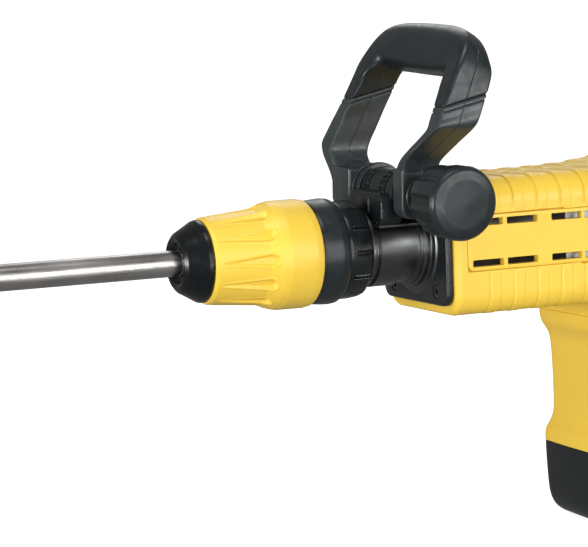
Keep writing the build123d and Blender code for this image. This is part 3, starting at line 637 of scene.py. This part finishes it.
SLOTS = [(201.5, 226.5), (229.5, 254.5), (266, 291), (293.5, 318.5), (330, 355)]
for side, nm, node in ((-1, "vent_panel_left", "side_panel_left"), (1, "vent_panel_right", "side_panel_right")):
    y0, y1 = sorted((side * 46.2, side * 52.05))
    pn = prism(nm, rrect(PANEL[0] + 0.35, PANEL[1] - 0.35, PANEL[2] + 0.35, PANEL[3] - 0.35, 5, n=8), y0, y1, axis="y", bevel=0.7, segs=3, rim="lo" if side < 0 else "hi")
    cs = []
    for a, b in SLOTS:
        for zc in (16.7, -12.0):
            cs.append(prism("c", rrect(a, b, zc - 2.5, zc + 2.5, 0.8, n=3), -60 if side < 0 else 45, -45 if side < 0 else 60, axis="y"))
    cut(pn, cs)
    piece(pn, "housing", "yellow_plastic", node)

# motor column and end cap
CZ = [-61.15, -66, -71.0, -81, -92, -109, -122, -134, -143, -149, -155.5, -163.8]
CX = [309.9, 310.1, 311.2, 316.8, 318.4, 319.2, 319.5, 319.5, 319.0, 316.8, 313.2, 312.4]
CW = [48, 47.9, 47.6, 46.6, 46.2, 46, 46, 46, 46.4, 47.2, 47.9, 48]
CR = [430, 430, 430, 429.5, 429.2, 429, 429, 429, 429.4, 429.8, 430, 430]
def cr_interp(xs, ys, q):
    """Catmull-Rom through a table."""
    xs, ys = np.asarray(xs, float), np.asarray(ys, float)
    if xs[0] > xs[-1]:
        xs, ys = xs[::-1], ys[::-1]
    q = np.clip(q, xs[0], xs[-1])
    i = int(np.clip(np.searchsorted(xs, q) - 1, 0, len(xs) - 2))
    h = xs[i + 1] - xs[i]
    t = (q - xs[i]) / h
    def slope(k):
        if k == 0:
            return (ys[1] - ys[0]) / (xs[1] - xs[0])
        if k == len(xs) - 1:
            return (ys[-1] - ys[-2]) / (xs[-1] - xs[-2])
        return (ys[k + 1] - ys[k - 1]) / (xs[k + 1] - xs[k - 1])
    m0, m1 = slope(i) * h, slope(i + 1) * h
    return (2 * t**3 - 3 * t**2 + 1) * ys[i] + (t**3 - 2 * t**2 + t) * m0 + (-2 * t**3 + 3 * t**2) * ys[i + 1] + (t**3 - t**2) * m1
def loop_ring(xf, xr, w, r, bulge=0.8):
    pts = []
    def arc(cx, cy, a0):
        return [(cx + r * math.cos((a0 + 90 * k / 12) * DEG), cy + r * math.sin((a0 + 90 * k / 12) * DEG)) for k in range(12)]
    pts += arc(xr - r, w - r, 0)
    pts += [(xr - r - (xr - xf - 2 * r) * k / 24, w) for k in range(24)]
    pts += arc(xf + r, w - r, 90)
    pts += [(xf - bulge * (1 - (1 - 2 * k / 18) ** 2), w - r - (2 * w - 2 * r) * k / 18) for k in range(18)]
    pts += arc(xf + r, -w + r, 180)
    pts += [(xf + r + (xr - xf - 2 * r) * k / 24, -w) for k in range(24)]
    pts += arc(xr - r, -w + r, 270)
    pts += [(xr, -w + r + (2 * w - 2 * r) * k / 18) for k in range(18)]
    return pts
def column_mesh(name, zs, fx, fr, fw, rfun, close_bottom=False, sharp=38):
    V, F = [], []
    k = 0
    for z in zs:
        ring = loop_ring(fx(z), fr(z), fw(z), rfun(z))
        k = len(ring)
        V += [(x, y, z) for x, y in ring]
    for i in range(len(zs) - 1):
        for j in range(k):
            F.append((i * k + j, i * k + (j + 1) % k, (i + 1) * k + (j + 1) % k, (i + 1) * k + j))
    if close_bottom:
        F.append(tuple(range((len(zs) - 1) * k, len(zs) * k)))
    return add_mesh(name, V, F, sharp)
zs = np.concatenate([[-61.15, -61.4, -62.0], np.linspace(-63, -162.6, 84), [-163.3, -163.8]])
def lipz(z, a, b, d=0.5):
    return d * max(0.0, 1 - min(abs(z - a), abs(z - b)) / 0.8)
col = column_mesh("motor_column_skin", zs, lambda z: cr_interp(CZ, CX, z) + lipz(z, -61.15, -163.8), lambda z: cr_interp(CZ, CR, z) - lipz(z, -61.15, -163.8), lambda z: cr_interp(CZ, CW, z) - lipz(z, -61.15, -163.8), lambda z: 12.0)
fix_outward(col, (372, 0, -112))
thicken(col, 3.0)
bpy.context.view_layer.update()
bake(col, 38)
piece(col, "housing", "yellow_plastic", "motor_housing")

EZ = [-164.4, -166, -184, -201, -207, -211.5, -215, -217.6, -219.2, -220]
EX = [312.9, 312.8, 313.6, 314.8, 315.8, 317.2, 319.2, 321.8, 324.6, 327.5]
EW = [47.8, 48, 48, 47.6, 47.0, 46.0, 44.6, 42.9, 41.0, 38.8]
ER = [430, 430, 430, 429.5, 429, 428.2, 427, 425.4, 423.4, 421]
zs = np.concatenate([[-164.4, -164.7, -165.3], np.linspace(-166.5, -206, 40), np.linspace(-207, -220, 16)])
cap = column_mesh("motor_end_cap_skin", zs, lambda z: cr_interp(EZ, EX, z), lambda z: cr_interp(EZ, ER, z), lambda z: cr_interp(EZ, EW, z), lambda z: 12.0, close_bottom=True)
fix_outward(cap, (372, 0, -190))
thicken(cap, 3.0)
bpy.context.view_layer.update()
bake(cap, 38)
cut(cap, [cyl("c", (x, y, -225), (x, y, -213), 4.6, 32) for x, y in ((329.5, -37), (329.5, 37), (415, -37), (415, 37))], 38)
lug = prism("lug", [(p[0], p[1]) for p in rounded([(426, -181, 0), (448, -181, 5), (455.5, -175, 4), (455.5, -169.5, 4), (450, -164.6, 4), (426, -164.6, 0)])], -7.5, 7.5, axis="y", bevel=0.8)
post = cyl("post", (372, 0, -217.5), (372, 0, -167), 15, 64)
cut(post, [cyl("c", (372, 0, -176), (372, 0, -160), 11, 64)])
cap = join("motor_end_cap_skin", [cap, lug, post], 38)
piece(cap, "housing", "black_plastic", "motor_end_cap")

# ------------------------------------------------------------ side handle
X0, H0, S0 = 165.0, 40.0, -4.5
ROLL = Matrix.Rotation(2.6 * DEG, 4, "X")
TL = math.tan(25 * DEG)
def xfr(u):
    return np.where(u < 27.7, -17.0, -25.3 + TL * (u - 9.9))
def xre(u):
    return np.where(u < 21.5, 11.0, 0.1 + TL * (u + 1.9))
def smooth_edge(f, u, w=3.0):
    return 0.25 * f(u - w) + 0.5 * f(u) + 0.25 * f(u + w)
def pivot_lathe(name, prof, n=96, mod=None, sharp=32):
    """Turned about the side handle's pivot; prof is (w, r) along the pivot."""
    def fr(V):
        out = np.empty_like(V)
        out[:, 0] = X0 + V[:, 1]
        out[:, 1] = S0 + V[:, 0]
        out[:, 2] = H0 + V[:, 2]
        return out
    ob = lathe(name, prof, n, mod=mod, sharp=sharp, frame_fn=fr)
    ob.data.transform(ROLL)
    return ob

UPN = [((-74.6, 66), (-59.5, 66)), ((-72.3, 80), (-56.0, 75.5)), ((-69.2, 91.5), (-52.4, 79.6)), ((-62.6, 101.6), (-48.6, 81.2)), ((-49.5, 109.0), (-43, 81.7)), ((-32, 112.6), (-29, 81.9)), ((-14, 113.6), (-13, 82.2)), ((0, 113.9), (0, 82.6))]
UPF = [((74.5, 66), (59.5, 66)), ((73.4, 79), (56.6, 77.0)), ((71.6, 90.5), (52.8, 82.4)), ((66.2, 101.5), (49.2, 84.2)), ((55.5, 109.4), (43.5, 84.5)), ((40, 112.9), (34, 84.0)), ((20, 113.9), (17, 83.3))]
UP = UPN
NEAR = [((-46, -3), (-31.9, -3)), ((-46, 9), (-31.9, 8)), ((-46.3, 17.5), (-32.4, 14.5)), ((-49.5, 25), (-38.0, 22)), ((-61, 35.8), (-49.0, 33.5)), ((-74, 46.6), (-60.2, 44.5)), ((-77.2, 50.5), (-62.2, 49)), ((-76.0, 58), (-61.0, 57.5))] + UP[:1]
FAR = [((64, -4), (52, -4)), ((68.4, 5), (52.5, 6)), ((75, 17), (58.5, 15)), ((80, 26.6), (63.4, 23.5)), ((81, 31.5), (64.2, 29)), ((79.4, 40), (63.2, 38.5)), ((77.2, 50.5), (62.2, 50)), ((75.8, 58.5), (60.8, 58.5)), ((74.5, 66), (59.5, 66))]
def resample(pairs, n, sharpness=0.0):
    P = np.array([[*o, *i] for o, i in pairs], float)
    t = np.concatenate([[0], np.cumsum(np.linalg.norm(np.diff((P[:, :2] + P[:, 2:]) / 2, axis=0), axis=1))])
    q = np.linspace(0, t[-1], n)
    out = np.stack([[cr_interp(t, P[:, k], v) for v in q] for k in range(4)], -1)
    return out
def rsection(a, b, rc, parting=True):
    """Rounded rectangle, half sizes a (across) and b (thick): (p, q, np, nq, on_face) round the outline."""
    rc = min(rc, a * 0.98, b * 0.98)
    pts = []
    def line(p0, q0, p1, q1, k, npq, mid=False):
        ts = list(np.linspace(0, 1, k + 1)[:-1])
        if mid:
            L = abs(p1 - p0) + abs(q1 - q0)
            e = 0.42 / max(L, 1)
            ts = sorted(set(ts + [0.5 - 2 * e, 0.5 - e, 0.5, 0.5 + e, 0.5 + 2 * e]))
        for t in ts:
            pts.append((p0 + (p1 - p0) * t, q0 + (q1 - q0) * t, npq[0], npq[1], 1.0 if mid and abs(t - 0.5) < 1e-6 else 0.0))
    def arc(cx, cy, a0):
        for k in range(8):
            g = (a0 + 90 * k / 8) * DEG
            pts.append((cx + rc * math.cos(g), cy + rc * math.sin(g), math.cos(g), math.sin(g), 0.0))
    line(a, -b + rc, a, b - rc, 5, (1, 0))
    arc(a - rc, b - rc, 0)
    line(a - rc, b, -a + rc, b, 13, (0, 1), True)
    arc(-a + rc, b - rc, 90)
    line(-a, b - rc, -a, -b + rc, 5, (-1, 0))
    arc(-a + rc, -b + rc, 180)
    line(-a + rc, -b, a - rc, -b, 13, (0, -1), True)
    arc(a - rc, -b + rc, 270)
    return pts
GROOVES = (62.4,)
def loop_sweep(name, pairs, n, kind, cap_ends=(True, True)):
    S = resample(pairs, n)
    V, F = [], []
    k = 0
    for ow, ou, iw, iu in S:
        cw, cu = (ow + iw) / 2, (ou + iu) / 2
        bw, bu = (ow - iw) / 2, (ou - iu) / 2
        b = math.hypot(bw, bu)
        dw, du = bw / b, bu / b
        beta = float(sstep(0.25, 0.9, abs(du)))
        grow = float(sstep(9.0, 16.0, b))
        fx, rx_ = float(smooth_edge(xfr, cu)), float(smooth_edge(xre, cu))
        fx -= 2.3 * float(sstep(-25, 50, cw))
        cx, a = (fx + rx_) / 2, (rx_ - fx) / 2
        a = a + grow * 2.6
        hubmix = 1 - float(sstep(6, 22, cu))
        if kind == "legs":
            cx = cx * (1 - 0.85 * hubmix)
            a = a - hubmix * 0.4
            cx = cx - hubmix * 1.6
        L = 25 * DEG * float(sstep(14, 34, cu))
        lean = math.tan(L)
        rc = 2.2 + (13.5 - 2.2) * grow + 1.2 * float(sstep(66, 80, cu))
        sec_ = rsection(a, b, rc)
        k = len(sec_)
        for p, q, n_p, n_q, part in sec_:
            d = -0.42 * part * (1 - grow)
            if kind == "legs":
                pass
            q2, p2 = q + n_q * d, p + n_p * d
            # shear for the legs, turn for the bar
            px = (1 - beta) * p2 + beta * p2 * math.cos(L) * math.cos(L)
            slope = 0.26 * float(sstep(44, 60, cu)) * (1 - float(sstep(70, 84, cu)))
            pu = -beta * p2 * math.sin(L) * math.cos(L) + slope * p2
            U = cu + q2 * du + pu
            W = cw + q2 * dw
            g = 0.0
            for gu in GROOVES:
                g += math.exp(-((cu - gu) / 0.55) ** 2)
            gj = math.exp(-((cu - 66.15) / 0.75) ** 2)
            if cu < 76:
                dd = 0.75 * min(1.0, g) + 0.8 * gj
                W -= dw * n_q * dd
                px -= n_p * dd
            Xx = cx + px + lean * (U - cu)
            V.append((X0 + Xx, S0 + W, H0 + U))
    m = len(S)
    for i in range(m - 1):
        for j in range(k):
            F.append((i * k + j, i * k + (j + 1) % k, (i + 1) * k + (j + 1) % k, (i + 1) * k + j))
    if cap_ends[0]:
        F.append(tuple(range(k)))
    if cap_ends[1]:
        F.append(tuple(reversed(range((m - 1) * k, m * k))))
    ob = add_mesh(name, V, F, 38)
    ob.data.transform(ROLL)
    return ob
near = loop_sweep("near_leg", NEAR, 150, "legs")
far = loop_sweep("far_leg", FAR, 140, "legs")
hub_n = pivot_lathe("hub_n", rounded([(-46, 4.25), (-46, 14.6, 0.5), (-45.4, 15.4, 0.4), (-45.4, 16.8, 0.9), (-31.9, 16.8, 0.9), (-31.9, 4.25)]), 96)
hub_f = pivot_lathe("hub_f", rounded([(31.9, 4.25), (31.9, 16.8, 0.9), (60, 16.8, 3.0), (64.3, 14.0, 2.0), (64.3, 9.2, 0.4), (60.0, 9.2), (60.0, 4.25)]), 96)
foot = prism("foot", [(X0 + p, H0 + q) for p, q in rounded([(-17.6, 19), (-17.6, -15.0, 8), (13.4, -16.3, 11), (11.2, 4, 6), (10.4, 19)], n=8)], S0 - 46.2, S0 - 31.9, axis="y", bevel=1.3)
foot.data.transform(ROLL)
foot_far = prism("foot_far", [(X0 + p, H0 + q) for p, q in rounded([(-19.6, 14), (-19.6, -12.5, 6), (-12.5, -17.0, 5), (8, -16.4, 11), (12.2, -4, 6), (10.4, 14)], n=6)], S0 + 32.4, S0 + 61.5, axis="y", bevel=2.2)
foot_far.data.transform(ROLL)
rim = pivot_lathe("rim", rounded([(-46.1, 12.8), (-47.2, 13.2, 0.4), (-47.2, 14.3, 0.4), (-46.0, 14.8), (-45.5, 13.4)]), 96)
frame_ob = join("loop_legs", [near, far, foot, foot_far, rim, hub_n, hub_f], 38)
# the legs take the lighter copy of the black plastic; its raised base colour is painted light for the lit grey leg
# faces
piece(frame_ob, "loop_handle", "textured_leg_plastic_painted_lit", "loop_frame", slot="black_plastic")
full = UPN + list(reversed(UPF))
full[0] = ((-74.55, 66.35), (-59.55, 66.35))
full[-1] = ((74.45, 66.35), (59.55, 66.35))
gr = loop_sweep("loop_grip_skin", full, 300, "grip")
piece(gr, "loop_handle", "soft_grip", "loop_grip")

# saddle: stepped, toothed pivot barrel over a skirt that grips the nose
def tooth_mod(W, R, TH):
    t = (TH * 22 / TAU) % 1.0
    teeth = sstep(0.0, 0.18, t) * (1 - sstep(0.5, 0.68, t))
    z = (W > -15.2) & (W < -7.8) & (R > 15.4)
    z2 = (W > 10.8) & (W < 15.2) & (R > 15.4)
    return np.where(z, R - 1.3 * teeth, np.where(z2, R - 0.8 * teeth, R))
sp = rounded([(-31.55, 4.2), (-31.55, 15.2, 0.5), (-27.2, 15.5, 0.4), (-27.0, 14.4, 0.3), (-25.8, 14.4, 0.3), (-25.6, 15.8, 0.4), (-16.2, 15.9, 0.4), (-16.0, 14.7, 0.2), (-15.3, 14.7, 0.2), (-15.2, 16.5, 0.4), (-7.8, 16.5, 0.4), (-7.6, 14.9, 0.2),
              (-5.8, 14.9, 0.2), (-5.6, 15.7, 0.4), (9.0, 15.7, 0.3), (9.2, 14.7, 0.2), (10.6, 14.7, 0.2), (10.8, 16.2, 0.4), (15.2, 16.2, 0.4), (15.4, 14.9, 0.2), (19.8, 14.9, 0.3), (20.2, 18.2, 0.7), (24.6, 18.4, 0.9), (25.0, 14.2, 0.3), (27.2, 14.2, 0.3),
              (27.5, 16.0, 0.5), (31.55, 15.6, 0.5), (31.55, 4.2)], n=3)
sad = pivot_lathe("sad", densify(sp, 0.9), 264, mod=tooth_mod, sharp=35)
def yz(pts, x0, x1, bev):
    return prism("p", [(S0 + w, z) for w, z in pts], x0, x1, axis="x", bevel=bev, segs=3)
parts = [yz(rounded([(-25.5, 17.6, 1), (-27.5, 24, 2), (-27.5, 36, 4), (-21, 41, 3), (19.5, 41, 3), (25, 34, 5), (28.5, 23, 3), (31.5, 17.6, 1)]), 140.6, 157, 1.2),
         yz(rounded([(-29, 17.6, 1), (-31.0, 24, 2), (-31.0, 43, 4), (31.0, 43, 4), (31.0, 22.6, 2), (32.4, 17.6, 1)]), 151.5, 180.8, 1.2),
         yz(rounded([(-27.2, 17.4, 0.5), (-27.2, 19.6, 0.5), (32.4, 19.6, 0.5), (33, 17.4, 0.5)]), 139.6, 181.2, 0.6),
         yz(rounded([(-9.5, 26, 1), (-9.5, 38, 2), (9.5, 38, 2), (9.5, 26, 1)]), 139.4, 150, 0.9)]
cutter = cyl("c1", (128, 0, 0), (173.2, 0, 0), 28.35, 128)
cutter2 = cyl("c2", (172.8, 0, 0), (192, 0, 0), 31.3, 128)
done = []
for p in parts:
    for c in (cutter, cutter2):
        md = p.modifiers.new("cut", "BOOLEAN")
        md.operation = "DIFFERENCE"
        md.solver = "EXACT"
        md.object = c
    bpy.context.view_layer.update()
    bake(p, 35)
    p.data.transform(ROLL)
    done.append(p)
bpy.data.objects.remove(cutter)
bpy.data.objects.remove(cutter2)
sad = join("clamp_saddle_casting", [sad] + done, 35)
piece(sad, "side_clamp", "black_plastic", "clamp_saddle")

# knob
kp = rounded([(-55.7, 0.0), (-55.7, 12.5, 0.8), (-60.0, 13.0, 1.5), (-64.5, 19.0, 1.5), (-66.8, 23.4, 2.2), (-78, 25.0, 14), (-98.0, 25.3, 3.2), (-102.0, 23.4, 3.6), (-103.5, 17.0, 12), (-104.2, 0.0)], closed=False, n=7)
def knob_mod(W, R, TH):
    wave = 0.5 + 0.5 * np.cos(8 * TH + 0.4)
    zone = sstep(-98.5, -93.0, W) * (1 - 0.4 * sstep(-76.5, -68.0, W)) * (R > 15)
    return R - zone * 2.1 * sstep(0.3, 0.95, wave)
knob = pivot_lathe("clamp_knob_skin", densify(kp, 0.8, closed=False), 320, mod=knob_mod, sharp=45)
piece(knob, "side_knob", "soft_grip", "side_knob")

# return spring inside the sleeve, built as one fixed coil; the real spring shortens as the sleeve is drawn back
def coil(name, x0, x1, turns, R, r, n=40, k=12):
    V, F = [], []
    m = int(turns * n)
    for i in range(m + 1):
        t = i / m
        a = t * turns * TAU
        ease = t + 0.02 * math.sin(TAU * t)
        x = x0 + (x1 - x0) * ease
        for j in range(k):
            q = TAU * j / k
            rr = R + r * math.cos(q)
            V.append((x + r * math.sin(q), rr * math.cos(a), rr * math.sin(a)))
    for i in range(m):
        for j in range(k):
            F.append((i * k + j, i * k + (j + 1) % k, (i + 1) * k + (j + 1) % k, (i + 1) * k + j))
    F.append(tuple(range(k)))
    F.append(tuple(reversed(range(m * k, (m + 1) * k))))
    return add_mesh(name, V, F, 50)
spring = coil("sleeve_return_spring", 27.9, 52.4, 4.8, 23.1, 1.05)
piece(spring, "tool_holder", "bright_steel", "sleeve_spring")
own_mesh(spring)

# rubber bellows between the shell and the rear handle
def bellows(name):
    V, F = [], []
    xs = np.linspace(440.3, 451.7, 39)
    k = 0
    for x in xs:
        g = 1.1 - 1.1 * math.cos(TAU * (x - 440.3) / 3.8)
        ring = rrect(-14 + g, 14 - g, 16 + g, 48 - g, 5 - g * 0.5, n=8)
        k = len(ring)
        V += [(x, y, z) for y, z in ring]
    for i in range(len(xs) - 1):
        for j in range(k):
            F.append((i * k + j, i * k + (j + 1) % k, (i + 1) * k + (j + 1) % k, (i + 1) * k + j))
    F.append(tuple(range(k)))
    F.append(tuple(reversed(range((len(xs) - 1) * k, len(xs) * k))))
    return add_mesh(name, V, F, 50)
boot = bellows("handle_bellows")
boot.data.materials.append(M["black_rubber"])
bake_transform(boot)
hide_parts("handle_boot")

# ------------------------------------------------------------ floor and light
floor_me = bpy.data.meshes.new("studio_floor")
prof = [(-6.0, 0.0)] + [(2.6 + 2.2 * math.sin(a), 2.2 - 2.2 * math.cos(a)) for a in np.linspace(0, math.pi / 2, 24)] + [(4.8, 7.0)]
fv, ff = [], []
for yy, zz in prof:
    fv += [(-9.0, yy, zz - 0.2205), (9.0, yy, zz - 0.2205)]
for i in range(len(prof) - 1):
    ff.append((2 * i, 2 * i + 1, 2 * i + 3, 2 * i + 2))
floor_me.from_pydata(fv, [], ff)
floor_me.shade_smooth()
floor = new_object("studio_floor", floor_me)
pale = node_mat("pale_floor", (0.90, 0.90, 0.90), 0.75, 0, var=0.01, var_scale=2, grain_scale=60, grain=0.05, rough_var=0.03, spec=0.2)
pale.node_tree.nodes["Principled BSDF"].inputs["Emission Color"].default_value = (1, 1, 1, 1)
pale.node_tree.nodes["Principled BSDF"].inputs["Emission Strength"].default_value = 0.86
floor_me.materials.append(pale)
floor.visible_glossy = False
floor.visible_diffuse = False

world = bpy.data.worlds.new("studio")
scene.world = world
world.use_nodes = True
world.node_tree.nodes["Background"].inputs[0].default_value = (1, 1, 1, 1)
world.node_tree.nodes["Background"].inputs[1].default_value = 0.26

def area(name, loc, target, size, power, size_y=None):
    d = bpy.data.lights.new(name, "AREA")
    d.energy = power
    d.size = size
    if size_y:
        d.shape = "RECTANGLE"
        d.size_y = size_y
    o = bpy.data.objects.new(name, d)
    scene.collection.objects.link(o)
    o.location = loc
    o.rotation_euler = (Vector(target) - Vector(loc)).to_track_quat("-Z", "Y").to_euler()
    return o
area("key_overhead", (-0.2, -0.5, 1.7), (0.12, 0, 0), 0.9, 9, 0.5)
area("front_softbox", (-0.35, -2.1, 0.50), (0.15, 0, 0.0), 1.1, 12, 0.8)
area("mirror_softbox", (1.15, -1.85, 0.45), (0.15, 0, 0.0), 1.5, 19, 0.6)
area("left_low", (-2.1, -0.35, 0.0), (0.33, 0, -0.11), 0.8, 36, 0.4)
area("fill_low", (0.1, -1.3, -0.16), (0.12, 0, 0.0), 1.1, 5, 0.07)
area("rim_back", (0.9, 1.5, 1.3), (0.2, 0, 0), 1.0, 8)
scene.view_settings.view_transform = "Standard"
scene.view_settings.look = "None"
